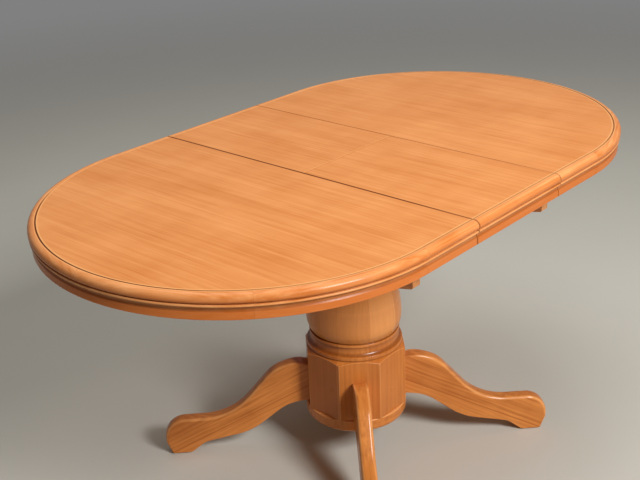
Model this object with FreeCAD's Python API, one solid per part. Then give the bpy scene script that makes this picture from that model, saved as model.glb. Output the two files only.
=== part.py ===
import FreeCAD, Part
import math
import os

from FreeCAD import Vector

# Pedestal dining table, drawn open with its folding leaf in place.
# Millimetres, +Z up, +X along the length. The origin is on the floor under the middle of the top.
# Near is -X, far is +X, left is +Y, right is -Y.

# Driving dimensions: the top
top_height = 760.0
top_width = 900.0
leaf_span = 305.0
side_run = 160.0
panel_thickness = 22.0
seam_gap = 1.2
fold_gap = 0.8
glue_gap = 0.2

# Driving dimensions: the moulded lipping round the top
edge_depth = 50.0
lip_face = 17.0
lip_ledge = 23.0
nosing_radius = 12.5
nosing_depth = 18.6
nosing_under_radius = 6.0
groove_side = 1.1
groove_drop = 1.6
quirk_inset = 5.0
quirk_height = 1.2
bead_inset = 0.8
bead_height = 4.6
bead_radius = 2.0
bead_step = 3.5
cove_inset = 8.5
cove_height = 12.0
cove_radius = 5.0
fascia_top_inset = 5.0
fascia_foot_inset = 4.0
fascia_foot_radius = 1.5
bends_per_half = 4

# Driving dimensions: the slides
open_travel = 45.0
slide_gap = 0.3
rail_width = 34.0
rail_height = 60.0
rail_length = 800.0
rail_end_bevel = 17.0
leaf_store_room = 25.0
groove_depth = 9.7
groove_height = 12.0
groove_foot = 22.0
runner_width = 26.0
runner_height = 44.0
runner_setback = 7.0
runner_end_gap = 11.0
runner_nose = 18.0
stop_pin_radius = 4.0
stop_pin_sink = 14.0
stop_pin_reach = 8.0
stop_pin_drop = 12.0
stop_pin_from_rail_end = 70.0

# Driving dimensions: the underframe
bearer_thickness = 24.0
bearer_from_middle = 240.0
bearer_depth = 98.0
bearer_end_depth = 48.0
bearer_overhang = 81.0
bearer_bend_radius = 200.0
bearer_edge_radius = 5.0
plate_thickness = 28.0
plate_width = 300.0
plate_margin = 12.0
plate_corner_radius = 30.0
plate_chamfer = 4.0

# Driving dimensions: the column, with the heights of its stages as shares of its own height
octagon_flats = 234.0
octagon_foot = 128.0
octagon_share = 0.3706
shoulder_width = 4.0
shoulder_slope_share = 0.667
ledge_share = 0.0215
ledge_lift_share = 0.16
ledge_radius = 115.5
ledge_round = 1.8
cavetto_share = 0.0535
cavetto_radius = 105.0
cavetto_flare = 0.8
cavetto_turn_share = 0.16
cavetto_round_share = 0.5
ring_share = 0.0153
ring_radius = 108.5
ring_round = 1.2
neck_share = 0.0071
neck_radius = 103.5
bulb_share = 0.22
bulb_foot_radius = 106.0
bulb_foot_round = 1.0
bulb_foot_land = 2.0
bulb_swell = 114.5
bulb_turn_share = 0.18
bulb_shoulder = 109.0
bulb_middle_share = 0.58
bulb_round_share = 2.0
throat_share = 0.094
throat_radius = 84.0
throat_flare = 4.0
throat_waist_share = 0.33
throat_round_share = 1.0
throat_foot_round_share = 2.0
capital_share = 0.033
capital_radius = 96.0
capital_round_share = 0.4
column_bore = 60.0
disc_radius = 123.5
disc_height = 33.0
disc_round = 13.0
disc_rim_round = 2.0

# Driving dimensions: the legs, with their stations as shares of the run from column to toe
leg_thickness = 35.0
leg_edge_radius = 11.0
leg_reach = 479.0
leg_root_height = 98.3
leg_root_lift = 4.5
leg_root_land = 0.3
leg_count = 4
crest_rise = 21.0
crest_share = 0.1685
toe_height = 94.0
instep_share = 0.4613
instep_round_share = 0.4144
toe_round_share = 0.55
toe_tuck = 15.0
toe_tuck_share = 0.36
toe_tuck_round_share = 0.32
sole_share = 0.175
heel_rise = 26.0
heel_share = 0.1
heel_bend_round_share = 0.1381
arch_rise = 49.0
arch_share = 0.5939
arch_round_share = 0.4199
arch_crown_share = 0.1202
glide_radius = 10.0
glide_height = 3.0
glide_rim = 1.5
glide_from_toe = 48.0
glide_nail_radius = 1.5
glide_nail_length = 14.0

# Driving dimensions: fasteners
stud_radius = 4.0
stud_in_leg = 45.0
stud_spacing = 48.0
stud_tail = 3.0
nut_flats = 13.0
nut_height = 6.5
washer_radius = 10.0
washer_thickness = 1.6
spotface_margin = 1.0
spotface_depth = 0.9
screw_head_radius = 4.5
screw_shank_radius = 2.2
screw_tip = 4.0
disc_screw_length = 60.0
plate_screw_length = 70.0
bearer_screw_length = 70.0
runner_screw_length = 56.0
cleat_screw_length = 32.0
runner_screw_margin = 45.0
cleat_screw_margin = 35.0
bearer_screw_from_middle = 90.0
disc_screw_inset = 24.0
bolt_radius = 4.0
bolt_head_radius = 8.0
bolt_head_height = 5.0
bolt_in_rail = 22.0
bolt_counterbore = 14.0
hole_clearance = 0.15

# Driving dimensions: the leaf
cleat_width = 25.0
cleat_height = 20.0
cleat_room = 3.0
cleat_setback = 12.0
hinge_count = 3
hinge_spacing = 100.0
barrel_radius = 7.0
barrel_length = 20.0
barrel_drop = 12.0
barrel_slot_width = 6.2
barrel_slot_depth = 13.0
link_thickness = 2.4
link_height = 6.0
link_tip_radius = 2.5
link_reach = 8.0
link_root = 12.0
link_side_gap = 0.3

# Places worked out from the driving dimensions
underside = top_height - panel_thickness
half_width = top_width / 2
seam = leaf_span / 2
half_seam = seam + seam_gap / 2
leaf_side = seam - seam_gap / 2
bend_centre = seam + side_run
panel_edge = half_width - lip_face - glue_gap
rail_top = underside - slide_gap
rail_foot = rail_top - rail_height
rail_inner = top_width / 4 + leaf_store_room
rail_outer = rail_inner + rail_width
runner_inner = rail_outer + slide_gap
runner_outer = runner_inner + runner_width
runner_foot = underside - runner_height
runner_start = seam + runner_setback
inside_radius = half_width - lip_face - lip_ledge
runner_end = bend_centre + math.sqrt(inside_radius ** 2 - runner_outer ** 2) - runner_end_gap
groove_bottom = rail_foot + groove_foot
stop_pin_x = rail_length / 2 - stop_pin_from_rail_end
stop_pin_z = underside - stop_pin_drop
bearer_top = rail_foot
bearer_end = rail_outer + bearer_overhang
plate_top = bearer_top - bearer_depth
column_top = plate_top - plate_thickness
column_height = column_top - octagon_foot
octagon_apothem = octagon_flats / 2
octagon_corner = octagon_apothem / math.cos(math.pi / 8)
leg_root_foot = octagon_foot + leg_root_lift
stud_heights = [leg_root_foot + leg_root_height / 2 + side * stud_spacing / 2 for side in (-1, 1)]
stud_seat = column_bore + spotface_depth
barrel_height = top_height - barrel_drop
fold_side = fold_gap / 2


def rounded_wire(corners, across, up, origin=Vector(0, 0, 0)):
    """Closed outline through corners (u, v, radius), each rounded by an arc of its radius."""
    turns = []
    for index, (u, v, radius) in enumerate(corners):
        here = Vector(u, v, 0)
        before = corners[index - 1]
        after = corners[(index + 1) % len(corners)]
        back = (Vector(before[0], before[1], 0) - here).normalize()
        ahead = (Vector(after[0], after[1], 0) - here).normalize()
        if radius == 0:
            turns.append((here, None, here))
            continue
        half_angle = back.getAngle(ahead) / 2
        reach = radius / math.tan(half_angle)
        bisector = (back + ahead).normalize()
        middle = here + bisector * (radius / math.sin(half_angle) - radius)
        turns.append((here + back * reach, middle, here + ahead * reach))

    def place(point):
        return origin + across * point.x + up * point.y

    edges = []
    for index, (start, middle, end) in enumerate(turns):
        if middle is not None:
            edges.append(Part.Arc(place(start), place(middle), place(end)).toShape())
        following = turns[(index + 1) % len(turns)][0]
        if (following - end).Length > 1e-6:
            edges.append(Part.LineSegment(place(end), place(following)).toShape())
    return Part.Wire(edges)


def turned(corners):
    """Solid of revolution about Z from a half outline of (radius, height, rounding) corners."""
    outline = rounded_wire(corners, Vector(1, 0, 0), Vector(0, 0, 1))
    return Part.Face(outline).revolve(Vector(0, 0, 0), Vector(0, 0, 1), 360)


def block(x_range, y_range, z_range):
    """Box between two values on each axis."""
    corner = Vector(x_range[0], y_range[0], z_range[0])
    return Part.makeBox(x_range[1] - x_range[0], y_range[1] - y_range[0], z_range[1] - z_range[0], corner)


def rod(radius, start, end):
    """Round bar between two points."""
    return Part.makeCylinder(radius, (end - start).Length, start, end - start)


def mirrored_x(shape):
    """The same piece on the other end of the table."""
    return shape.mirror(Vector(0, 0, 0), Vector(1, 0, 0))


def mirrored_y(shape):
    """The same piece on the other long side of the table."""
    return shape.mirror(Vector(0, 0, 0), Vector(0, 1, 0))


def about_z(shape, angle):
    """A copy of the shape turned about the column's axis."""
    copy = shape.copy()
    copy.rotate(Vector(0, 0, 0), Vector(0, 0, 1), angle)
    return copy


def upward_screw(length, foot, grow=0.0):
    """Countersunk screw with its head at foot and its tip up. With grow it is the hole for that screw."""
    head = screw_head_radius + grow
    shank = screw_shank_radius + grow
    tip = length + grow
    corners = [
        (0, 0, 0),
        (head, 0, 0),
        (shank, head - shank, 0),
        (shank, tip - screw_tip, 0),
        (0, tip, 0),
    ]
    screw = turned(corners)
    screw.translate(foot)
    return screw


def downward_screw(length, head, grow=0.0):
    """The same screw with its head up, level with the given point."""
    screw = upward_screw(length, Vector(0, 0, 0), grow)
    screw.rotate(Vector(0, 0, 0), Vector(1, 0, 0), 180)
    screw.translate(head)
    return screw


def lipping_outline():
    """Section of the lipping as (inset from the outer face, depth under the top, rounding) corners."""
    bead_top = nosing_depth + quirk_height
    bead_foot = bead_top + bead_height
    cove_foot = bead_foot + cove_height
    ledge = lip_face + lip_ledge
    return [
        (lip_face, groove_drop, 0),
        (lip_face - groove_side, 0, 0),
        (0, 0, nosing_radius),
        (0, nosing_depth, nosing_under_radius),
        (quirk_inset, nosing_depth, 0),
        (quirk_inset, bead_top, 0),
        (bead_inset, bead_top, bead_radius),
        (bead_inset, bead_foot, bead_radius),
        (bead_step, bead_foot, 0),
        (cove_inset, bead_foot + cove_height / 2, cove_radius),
        (fascia_top_inset, cove_foot, 0),
        (fascia_foot_inset, edge_depth, fascia_foot_radius),
        (ledge, edge_depth, 0),
        (ledge, panel_thickness, 0),
        (lip_face, panel_thickness, 0),
    ]


def straight_lipping(x_start, x_end):
    """Lipping along the left long side."""
    corner = Vector(x_start, half_width, top_height)
    section = rounded_wire(lipping_outline(), Vector(0, -1, 0), Vector(0, 0, -1), corner)
    return Part.Face(section).extrude(Vector(x_end - x_start, 0, 0))


def bent_lipping(start_angle, sweep):
    """Lipping round a stretch of the far end's half circle."""
    corner = Vector(bend_centre + half_width, 0, top_height)
    section = rounded_wire(lipping_outline(), Vector(-1, 0, 0), Vector(0, 0, -1), corner)
    centre = Vector(bend_centre, 0, 0)
    piece = Part.Face(section).revolve(centre, Vector(0, 0, 1), sweep)
    piece.rotate(centre, Vector(0, 0, 1), start_angle)
    return piece


def runner_screw_places():
    """Plan positions of one far left runner's screws."""
    y = (runner_inner + runner_outer) / 2
    first = runner_start + runner_screw_margin
    last = runner_end - runner_screw_margin
    return [(x, y) for x in (first, (first + last) / 2, last)]


def half_panel():
    """Veneered field of the far half: straight sides, round end and chamfered upper edges."""
    flat = block((half_seam, bend_centre), (-panel_edge, panel_edge), (underside, top_height))
    end = Part.makeCylinder(panel_edge, panel_thickness, Vector(bend_centre, 0, underside))
    end_half = end.common(
        block((bend_centre, bend_centre + half_width), (-half_width, half_width), (underside, top_height)))
    panel = flat.fuse(end_half).removeSplitter()
    top_edges = [edge for edge in panel.Edges if edge.BoundBox.ZMin > top_height - 1e-3]
    panel = panel.makeChamfer(groove_side, top_edges)
    holes = []
    for x, y in runner_screw_places():
        for side in (-1, 1):
            foot = Vector(x, side * y, runner_foot)
            holes.append(upward_screw(runner_screw_length, foot, hole_clearance))
    return panel.cut(holes)


def runner():
    """Far left runner: a bar with a tongue for the rail's groove and a slot for the stop pin."""
    start = runner_start
    end = runner_end
    bar_outline = [
        (start, runner_foot, 0),
        (end - runner_nose, runner_foot, 0),
        (end, runner_foot + runner_nose, 0),
        (end, underside, 0),
        (start, underside, 0),
    ]
    across = Vector(1, 0, 0)
    up = Vector(0, 0, 1)
    bar = Part.Face(rounded_wire(bar_outline, across, up, Vector(0, runner_inner, 0)))
    bar = bar.extrude(Vector(0, runner_width, 0))
    tongue_tip = rail_outer - groove_depth + slide_gap
    tongue = block(
        (start, end - runner_nose), (tongue_tip, runner_inner),
        (groove_bottom + slide_gap, groove_bottom + groove_height - slide_gap))
    slot_reach = stop_pin_reach + slide_gap
    slot_half = stop_pin_radius + slide_gap
    slot_outline = [
        (stop_pin_x - open_travel - slot_half, stop_pin_z - slot_half, stop_pin_radius),
        (stop_pin_x + seam + slot_half, stop_pin_z - slot_half, stop_pin_radius),
        (stop_pin_x + seam + slot_half, stop_pin_z + slot_half, stop_pin_radius),
        (stop_pin_x - open_travel - slot_half, stop_pin_z + slot_half, stop_pin_radius),
    ]
    slot = Part.Face(rounded_wire(slot_outline, across, up, Vector(0, runner_inner, 0)))
    slot = slot.extrude(Vector(0, slot_reach, 0))
    holes = [
        upward_screw(runner_screw_length, Vector(x, y, runner_foot), hole_clearance)
        for x, y in runner_screw_places()
    ]
    return bar.fuse(tongue).removeSplitter().cut([slot] + holes)


def runner_screws():
    """Screws that hold the far half's two runners."""
    return Part.makeCompound([
        upward_screw(runner_screw_length, Vector(x, side * y, runner_foot))
        for x, y in runner_screw_places() for side in (-1, 1)
    ])


def rail_bolt(grow=0.0):
    """Bolt up through the far bearer into the left rail, and with grow its hole and counterbore."""
    y = (rail_inner + rail_outer) / 2
    slope = (bearer_depth - bearer_end_depth) / (bearer_end - plate_width / 2)
    skin = plate_top + slope * (y - plate_width / 2)
    seat = skin + bolt_counterbore
    axis = Vector(bearer_from_middle, y, seat)
    shank = rod(bolt_radius + grow, axis, axis + Vector(0, 0, bearer_top + bolt_in_rail + grow - seat))
    drop = bolt_head_height + (2 * bolt_counterbore if grow else 0)
    head = rod(bolt_head_radius + grow, axis, axis - Vector(0, 0, drop))
    return shank.fuse(head).removeSplitter()


def guide_rail():
    """Left guide rail with a groove along its outer face."""
    reach = rail_length / 2
    outline = [
        (-reach, rail_foot + rail_end_bevel, 0),
        (-reach + rail_end_bevel, rail_foot, 0),
        (reach - rail_end_bevel, rail_foot, 0),
        (reach, rail_foot + rail_end_bevel, 0),
        (reach, rail_top, 0),
        (-reach, rail_top, 0),
    ]
    bar = Part.Face(rounded_wire(outline, Vector(1, 0, 0), Vector(0, 0, 1), Vector(0, rail_inner, 0)))
    bar = bar.extrude(Vector(0, rail_width, 0))
    groove = block(
        (-reach, reach), (rail_outer - groove_depth, rail_outer),
        (groove_bottom, groove_bottom + groove_height))
    cuts = [groove]
    for end in (-1, 1):
        pin_foot = Vector(end * stop_pin_x, rail_outer - stop_pin_sink - hole_clearance, stop_pin_z)
        pin_mouth = Vector(end * stop_pin_x, rail_outer, stop_pin_z)
        cuts.append(rod(stop_pin_radius + hole_clearance, pin_foot, pin_mouth))
    bolt_hole = rail_bolt(hole_clearance)
    return bar.cut(cuts + [bolt_hole, mirrored_x(bolt_hole)])


def stop_pins():
    """Pins in the rails that stop the runners at both ends of their slots."""
    pins = []
    for end in (-1, 1):
        for side in (-1, 1):
            foot = Vector(end * stop_pin_x, side * (rail_outer - stop_pin_sink), stop_pin_z)
            tip = Vector(end * stop_pin_x, side * (rail_outer + stop_pin_reach), stop_pin_z)
            pins.append(rod(stop_pin_radius, foot, tip))
    return Part.makeCompound(pins)


def bearer_screw_places():
    """Plan positions of the screws from the head plate up into the two bearers."""
    x = bearer_from_middle
    y = bearer_screw_from_middle
    return [(-x, -y), (-x, y), (x, -y), (x, y)]


def cross_bearer():
    """Far bearer: deep over the head plate and tapered from below to its ends."""
    end_foot = bearer_top - bearer_end_depth
    flat = plate_width / 2
    outline = [
        (-bearer_end, end_foot, bearer_edge_radius),
        (-flat, plate_top, bearer_bend_radius),
        (flat, plate_top, bearer_bend_radius),
        (bearer_end, end_foot, bearer_edge_radius),
        (bearer_end, bearer_top, bearer_edge_radius),
        (-bearer_end, bearer_top, bearer_edge_radius),
    ]
    corner = Vector(bearer_from_middle - bearer_thickness / 2, 0, 0)
    bearer = Part.Face(rounded_wire(outline, Vector(0, 1, 0), Vector(0, 0, 1), corner))
    bearer = bearer.extrude(Vector(bearer_thickness, 0, 0))
    bolt_hole = rail_bolt(hole_clearance)
    cuts = [bolt_hole, mirrored_y(bolt_hole)]
    for x, y in bearer_screw_places():
        if x > 0:
            cuts.append(upward_screw(bearer_screw_length, Vector(x, y, column_top), hole_clearance))
    return bearer.cut(cuts)


def plate_screw_places():
    """Plan positions of the screws from the head plate down into the column's wall."""
    ring = (column_bore + capital_radius) / 2
    angles = [math.radians(45 + 90 * turn) for turn in range(4)]
    return [(ring * math.cos(angle), ring * math.sin(angle)) for angle in angles]


def head_plate():
    """Plate on top of the column that carries the bearers."""
    reach = bearer_from_middle + bearer_thickness / 2 + plate_margin
    half = plate_width / 2
    corners = ((-reach, -half), (reach, -half), (reach, half), (-reach, half))
    outline = [(x, y, plate_corner_radius) for x, y in corners]
    plate = Part.Face(rounded_wire(outline, Vector(1, 0, 0), Vector(0, 1, 0), Vector(0, 0, column_top)))
    plate = plate.extrude(Vector(0, 0, plate_thickness))
    lower_edges = [edge for edge in plate.Edges if edge.BoundBox.ZMax < column_top + 1e-3]
    plate = plate.makeChamfer(plate_chamfer, lower_edges)
    cuts = [
        downward_screw(plate_screw_length, Vector(x, y, plate_top), hole_clearance)
        for x, y in plate_screw_places()
    ]
    for x, y in bearer_screw_places():
        cuts.append(upward_screw(bearer_screw_length, Vector(x, y, column_top), hole_clearance))
    return plate.cut(cuts)


def column_outline():
    """Half outline of the turning that is cut into the eight-sided blank."""
    blank = octagon_corner + shoulder_width
    shoulder_top = octagon_foot + octagon_share * column_height
    shoulder_radius = octagon_apothem - shoulder_width
    ledge_foot = shoulder_top + shoulder_slope_share * shoulder_width
    ledge_height = ledge_share * column_height
    cavetto_foot = ledge_foot + ledge_height
    cavetto_height = cavetto_share * column_height
    ring_foot = cavetto_foot + cavetto_height
    neck_foot = ring_foot + ring_share * column_height
    bulb_foot = neck_foot + neck_share * column_height
    bulb_height = bulb_share * column_height
    bulb_round = bulb_round_share * bulb_height
    bulb_start = (bulb_foot_radius, bulb_foot)
    bulb_turn = (bulb_swell, bulb_foot + bulb_turn_share * bulb_height)
    bulb_middle = (bulb_swell, bulb_foot + bulb_middle_share * bulb_height)
    capital_height = capital_share * column_height
    capital_foot = column_top - capital_height
    throat_height = throat_share * column_height
    throat_foot = capital_foot - throat_height
    throat_waist = capital_foot - throat_waist_share * throat_height
    return [
        (0, octagon_foot, 0),
        (blank, octagon_foot, 0),
        (blank, shoulder_top - shoulder_slope_share * (blank - octagon_apothem), 0),
        (shoulder_radius, ledge_foot, 0),
        (ledge_radius, ledge_foot + ledge_lift_share * ledge_height, ledge_round / 2),
        (ledge_radius, cavetto_foot, ledge_round),
        (cavetto_radius + cavetto_flare, cavetto_foot + cavetto_turn_share * cavetto_height,
         cavetto_round_share * cavetto_height),
        (cavetto_radius, ring_foot, 0),
        (ring_radius, ring_foot, ring_round),
        (ring_radius, neck_foot, ring_round),
        (neck_radius, neck_foot, 0),
        (neck_radius, bulb_foot, 0),
        (*bulb_start, bulb_foot_round),
        (*bulb_turn, round_from(bulb_start, bulb_turn, bulb_middle, bulb_foot_land)),
        (*bulb_middle, bulb_round),
        (bulb_shoulder, bulb_foot + bulb_height, bulb_round),
        (throat_radius + throat_flare, throat_foot, throat_foot_round_share * throat_height),
        (throat_radius, throat_waist, throat_round_share * throat_height),
        (capital_radius, capital_foot, capital_round_share * capital_height),
        (capital_radius, column_top, 0),
        (0, column_top, 0),
    ]


def pedestal_column():
    """Hollow column: one eight-sided blank, turned round above the shoulder."""
    points = []
    for turn in range(9):
        angle = math.radians(22.5 + 45 * turn)
        x = octagon_corner * math.cos(angle)
        y = octagon_corner * math.sin(angle)
        points.append(Vector(x, y, octagon_foot))
    blank = Part.Face(Part.makePolygon(points)).extrude(Vector(0, 0, column_top - octagon_foot))
    column = blank.common(turned(column_outline()))
    cuts = [Part.makeCylinder(column_bore, column_top - octagon_foot, Vector(0, 0, octagon_foot))]
    for height in stud_heights:
        axis = Vector(0, 0, height)
        stud_hole = rod(stud_radius + hole_clearance, axis, axis + Vector(octagon_corner, 0, 0))
        seat = rod(washer_radius + spotface_margin, axis, axis + Vector(stud_seat, 0, 0))
        cuts += around_legs(stud_hole) + around_legs(seat)
    for x, y in plate_screw_places():
        cuts.append(downward_screw(plate_screw_length, Vector(x, y, plate_top), hole_clearance))
    disc_foot = octagon_foot - disc_height
    for x, y in disc_screw_places():
        cuts.append(upward_screw(disc_screw_length, Vector(x, y, disc_foot), hole_clearance))
    return column.cut(cuts)


def disc_screw_places():
    """Plan positions of the screws up through the base disc into the column's wall."""
    ring = disc_radius - disc_screw_inset
    return [(ring, 0), (0, ring), (-ring, 0), (0, -ring)]


def base_disc():
    """Round disc under the column."""
    foot = octagon_foot - disc_height
    disc = turned([
        (0, foot, 0),
        (disc_radius, foot, disc_round),
        (disc_radius, octagon_foot, disc_rim_round),
        (0, octagon_foot, 0),
    ])
    holes = [
        upward_screw(disc_screw_length, Vector(x, y, foot), hole_clearance) for x, y in disc_screw_places()
    ]
    return disc.cut(holes)


def round_from(start, corner, onward, land):
    """Radius of the arc at a corner that begins a short land after the start point."""
    back = Vector(start[0] - corner[0], start[1] - corner[1], 0)
    ahead = Vector(onward[0] - corner[0], onward[1] - corner[1], 0)
    return (back.Length - land) * math.tan(back.getAngle(ahead) / 2)


def leg_outline():
    """Side outline of a leg as (distance from the column's axis, height, rounding) corners."""
    run = leg_reach - octagon_apothem
    toe_top = glide_height + toe_height
    root_top = (octagon_apothem, leg_root_foot + leg_root_height)
    crest = (octagon_apothem + crest_share * run, root_top[1] + crest_rise)
    instep = (leg_reach - instep_share * run, toe_top)
    heel = (leg_reach - sole_share * run, glide_height)
    arch = (leg_reach - arch_share * run, glide_height + arch_rise)
    crown = (octagon_apothem + arch_crown_share * run, leg_root_foot)
    root_foot = (octagon_apothem, leg_root_foot)
    return [
        (*root_top, 0),
        (*crest, round_from(root_top, crest, instep, leg_root_land)),
        (*instep, instep_round_share * run),
        (leg_reach, toe_top, toe_round_share * toe_height),
        (leg_reach, glide_height + toe_tuck_share * toe_height, toe_tuck_round_share * toe_height),
        (leg_reach - toe_tuck, glide_height, 0),
        (*heel, 0),
        (heel[0] - heel_share * run, heel[1] + heel_rise, heel_bend_round_share * run),
        (*arch, arch_round_share * run),
        (*crown, round_from(root_foot, crown, arch, leg_root_land)),
        (*root_foot, 0),
    ]


def leg():
    """One scrolled leg pointing along +X, with rounded edges and a flat sole."""
    outline = rounded_wire(leg_outline(), Vector(1, 0, 0), Vector(0, 0, 1), Vector(0, -leg_thickness / 2, 0))
    body = Part.Face(outline).extrude(Vector(0, leg_thickness, 0))
    long_edges = [
        edge for edge in body.Edges
        if edge.BoundBox.YLength < 1e-3 and edge.BoundBox.XMax > octagon_apothem + 1e-3
        and edge.BoundBox.ZMax > glide_height + 1e-3
    ]
    body = body.makeFillet(leg_edge_radius, long_edges)
    cuts = [
        rod(stud_radius + hole_clearance, Vector(octagon_apothem, 0, height),
            Vector(octagon_apothem + stud_in_leg + hole_clearance, 0, height))
        for height in stud_heights
    ]
    glide_x = leg_reach - glide_from_toe
    nail_foot = Vector(glide_x, 0, glide_height)
    nail_hole = glide_nail_length + hole_clearance
    cuts.append(rod(glide_nail_radius + hole_clearance, nail_foot, nail_foot + Vector(0, 0, nail_hole)))
    return body.cut(cuts)


def around_legs(shape):
    """One copy of the shape for each leg, in the order far left, near left, near right, far right."""
    return [about_z(shape, 360 / leg_count * (turn + 0.5)) for turn in range(leg_count)]


def leg_studs():
    """Studs that run from inside the column into the legs."""
    tail = stud_seat - washer_thickness - nut_height - stud_tail
    studs = []
    for height in stud_heights:
        stud = rod(stud_radius, Vector(tail, 0, height), Vector(octagon_apothem + stud_in_leg, 0, height))
        studs += around_legs(stud)
    return Part.makeCompound(studs)


def leg_washers():
    """Washers on the flat seats inside the column."""
    washers = []
    for height in stud_heights:
        start = Vector(stud_seat - washer_thickness, 0, height)
        end = Vector(stud_seat, 0, height)
        ring = rod(washer_radius, start, end).cut(rod(stud_radius + hole_clearance, start, end))
        washers += around_legs(ring)
    return Part.makeCompound(washers)


def leg_nuts():
    """Hexagon nuts on the studs."""
    nuts = []
    corner = nut_flats / 2 / math.cos(math.pi / 6)
    back = stud_seat - washer_thickness - nut_height
    for height in stud_heights:
        points = []
        for turn in range(7):
            angle = math.radians(60 * turn)
            points.append(Vector(back, corner * math.cos(angle), height + corner * math.sin(angle)))
        nut = Part.Face(Part.makePolygon(points)).extrude(Vector(nut_height, 0, 0))
        axis = Vector(back, 0, height)
        bore = rod(stud_radius + hole_clearance, axis, axis + Vector(nut_height, 0, 0))
        nuts += around_legs(nut.cut(bore))
    return Part.makeCompound(nuts)


def foot_glides():
    """Nailed glides under the four toes."""
    glide = turned([
        (0, 0, 0),
        (glide_radius - glide_rim, 0, 0),
        (glide_radius, glide_rim, 0),
        (glide_radius, glide_height, 0),
        (glide_nail_radius, glide_height, 0),
        (glide_nail_radius, glide_height + glide_nail_length, 0),
        (0, glide_height + glide_nail_length, 0),
    ])
    glide.translate(Vector(leg_reach - glide_from_toe, 0, 0))
    return Part.makeCompound(around_legs(glide))


def hinge_places():
    """Places of the concealed hinges along the fold."""
    return [(turn - (hinge_count - 1) / 2) * hinge_spacing for turn in range(hinge_count)]


def cleat_screw_places():
    """Plan positions of the screws in the left cleat."""
    y = rail_inner - cleat_room - cleat_width / 2
    reach = leaf_side - cleat_setback - cleat_screw_margin
    return [(x, y) for x in (-reach, 0, reach)]


def leaf_panel():
    """Left half of the leaf: chamfered upper edges, and round pockets for the hinges in its folding edge."""
    panel = block((-leaf_side, leaf_side), (fold_side, panel_edge), (underside, top_height))
    outer_top = [
        edge for edge in panel.Edges
        if edge.BoundBox.ZMin > top_height - 1e-3 and edge.BoundBox.YMax > panel_edge - 1e-3
    ]
    panel = panel.makeChamfer(groove_side, outer_top)
    cuts = []
    for x in hinge_places():
        mouth = Vector(x, fold_side, barrel_height)
        back = Vector(x, fold_side + barrel_length + hole_clearance, barrel_height)
        cuts.append(rod(barrel_radius + hole_clearance, mouth, back))
    for x, y in cleat_screw_places():
        cuts.append(upward_screw(cleat_screw_length, Vector(x, y, underside - cleat_height), hole_clearance))
    return panel.cut(cuts)


def leaf_cleat():
    """Cleat under the left half of the leaf that keeps it between the rails."""
    outer = rail_inner - cleat_room
    reach = leaf_side - cleat_setback
    cleat = block((-reach, reach), (outer - cleat_width, outer), (underside - cleat_height, underside))
    holes = [
        upward_screw(cleat_screw_length, Vector(x, y, underside - cleat_height), hole_clearance)
        for x, y in cleat_screw_places()
    ]
    return cleat.cut(holes)


def cleat_screws():
    """Screws of the left cleat."""
    return Part.makeCompound([
        upward_screw(cleat_screw_length, Vector(x, y, underside - cleat_height))
        for x, y in cleat_screw_places()
    ])


def hinge_barrels():
    """Left halves of the hinges: round barrels with an upright slot for the links."""
    barrels = []
    for x in hinge_places():
        mouth = Vector(x, fold_side, barrel_height)
        barrel = rod(barrel_radius, mouth, mouth + Vector(0, barrel_length, 0))
        slot = block(
            (x - barrel_slot_width / 2, x + barrel_slot_width / 2),
            (fold_side, fold_side + barrel_slot_depth),
            (barrel_height - barrel_radius, barrel_height + barrel_radius))
        barrels.append(barrel.cut(slot))
    return Part.makeCompound(barrels)


def hinge_links():
    """Links of the left barrels, which reach across the fold into the slots of the right ones."""
    links = []
    for x in hinge_places():
        side = x - barrel_slot_width / 2 + link_side_gap
        outline = [
            (-link_reach, barrel_height - link_height / 2, link_tip_radius),
            (link_root, barrel_height - link_height / 2, 0),
            (link_root, barrel_height + link_height / 2, 0),
            (-link_reach, barrel_height + link_height / 2, link_tip_radius),
        ]
        link = Part.Face(rounded_wire(outline, Vector(0, 1, 0), Vector(0, 0, 1), Vector(side, 0, 0)))
        links.append(link.extrude(Vector(link_thickness, 0, 0)))
    return Part.makeCompound(links)


def half_turned(shape):
    """A copy of the shape turned half round about the column's axis, for the leaf's other half."""
    return about_z(shape, 180)


def top_half_pieces():
    """Pieces of the far half by their short names."""
    sweep = 180.0 / bends_per_half
    pieces = {
        "top_panel": half_panel(),
        "lipping_left": straight_lipping(half_seam, bend_centre),
        "runner_left": runner(),
        "runner_screws": runner_screws(),
    }
    pieces["lipping_right"] = mirrored_y(pieces["lipping_left"])
    pieces["runner_right"] = mirrored_y(pieces["runner_left"])
    for turn in range(bends_per_half):
        pieces["lipping_bend_%d" % (turn + 1)] = bent_lipping(-90 + turn * sweep, sweep)
    return pieces


def leaf_pieces():
    """Pieces of the left half of the leaf by their short names."""
    return {
        "panel": leaf_panel(),
        "lipping": straight_lipping(-leaf_side, leaf_side),
        "cleat": leaf_cleat(),
        "cleat_screws": cleat_screws(),
        "hinge_barrels": hinge_barrels(),
        "hinge_links": hinge_links(),
    }


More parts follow.
